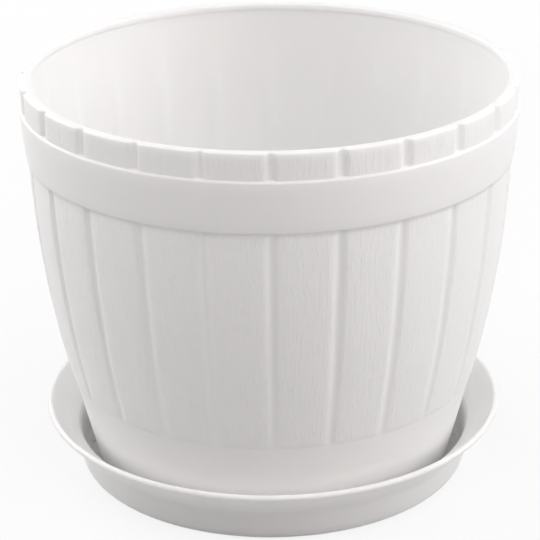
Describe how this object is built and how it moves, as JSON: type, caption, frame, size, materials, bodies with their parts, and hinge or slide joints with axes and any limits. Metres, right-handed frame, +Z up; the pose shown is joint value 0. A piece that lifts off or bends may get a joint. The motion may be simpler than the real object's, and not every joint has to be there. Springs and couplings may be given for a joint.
{
  "type": "flower pot",
  "caption": "Barrel-shaped round flower pot with moulded staves, a smooth hoop and a notched rim, standing loose on the ribs of a shallow saucer with a beaded lip.",
  "frame": {"origin": "centre of the saucer's underside, on the surface the saucer stands on", "axes": "+Z up along the pot's axis; one groove between staves faces -Y"},
  "size_m": [0.2012, 0.2012, 0.169],
  "materials": {
    "pot_plastic": "satin moulded polypropylene, wood grain on the staves",
    "saucer_plastic": "satin moulded polypropylene, smooth"
  },
  "bodies": {
    "saucer": {"saucer": "saucer_plastic"},
    "pot": {"pot": "pot_plastic"}
  },
  "joints": [
    {"name": "pot_lift", "type": "slide", "parent": "saucer", "child": "pot", "axis": [0, 0, 1], "range_m": [0, 0.1]}
  ]
}
